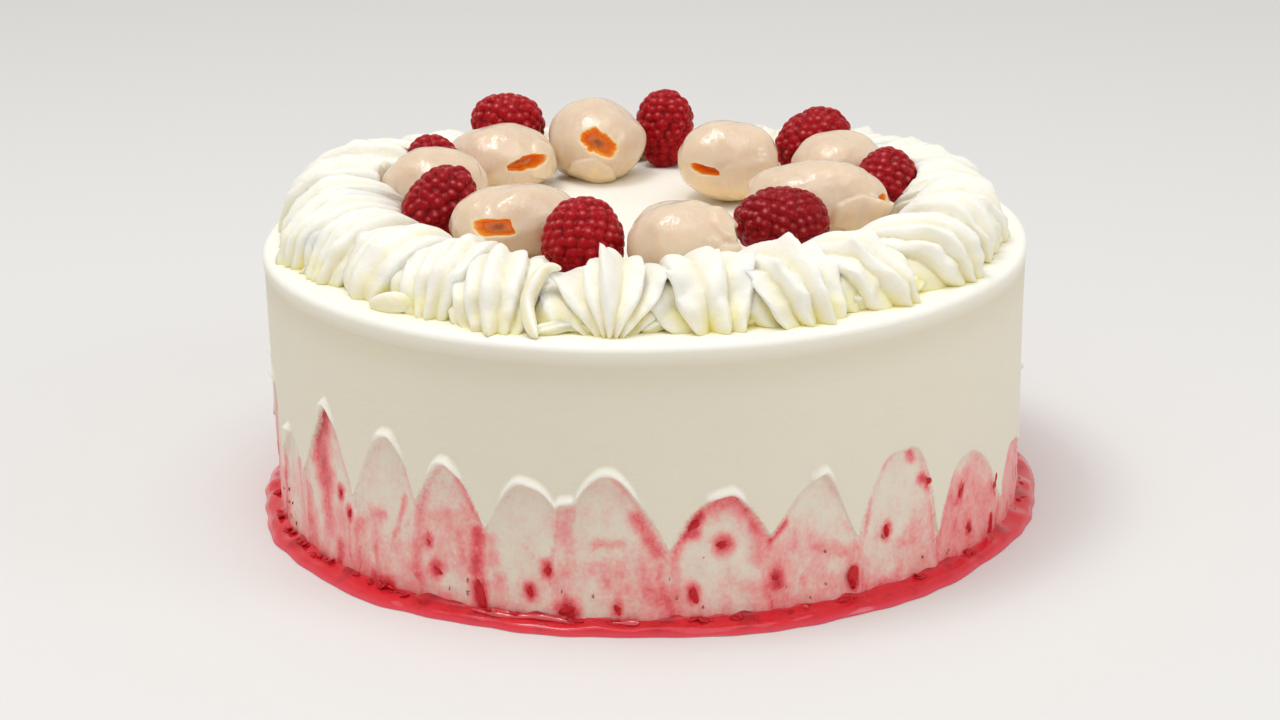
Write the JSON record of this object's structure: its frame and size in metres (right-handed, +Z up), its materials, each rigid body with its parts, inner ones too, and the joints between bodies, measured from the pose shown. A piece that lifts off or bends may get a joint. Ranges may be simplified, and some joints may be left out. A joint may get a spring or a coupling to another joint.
{
  "type": "lychee raspberry cake",
  "caption": "Round cream-iced cake with raspberry purée strokes up its side, a piped cream border and a wreath of pitted lychees and raspberries.",
  "frame": {"origin": "centre of the cake's flat base", "axes": "+Z up; the side that the picture shows faces -Y, and +X is to its right"},
  "size_m": [0.2185, 0.2182, 0.0997],
  "materials": {
    "cream_icing": "smooth whipped cream, satin, smeared with raspberry purée below the tips of the strokes",
    "piped_cream": "piped whipped cream, satin",
    "raspberry_puree": "wet and glossy fruit purée",
    "lychee_flesh": "wet and translucent fruit flesh, ochre in the pit hole",
    "raspberry": "ripe drupelets with a soft shine"
  },
  "bodies": {
    "root": {"cake_body": "cream_icing", "raspberry_puree_ring": "raspberry_puree", "piped_border": "piped_cream", "lychee_1": "lychee_flesh", "lychee_2": "lychee_flesh", "lychee_3": "lychee_flesh", "lychee_4": "lychee_flesh", "lychee_5": "lychee_flesh", "lychee_6": "lychee_flesh", "lychee_7": "lychee_flesh", "lychee_8": "lychee_flesh", "raspberry_1": "raspberry", "raspberry_2": "raspberry", "raspberry_3": "raspberry", "raspberry_4": "raspberry", "raspberry_5": "raspberry", "raspberry_6": "raspberry", "raspberry_7": "raspberry", "raspberry_8": "raspberry"}
  },
  "joints": []
}
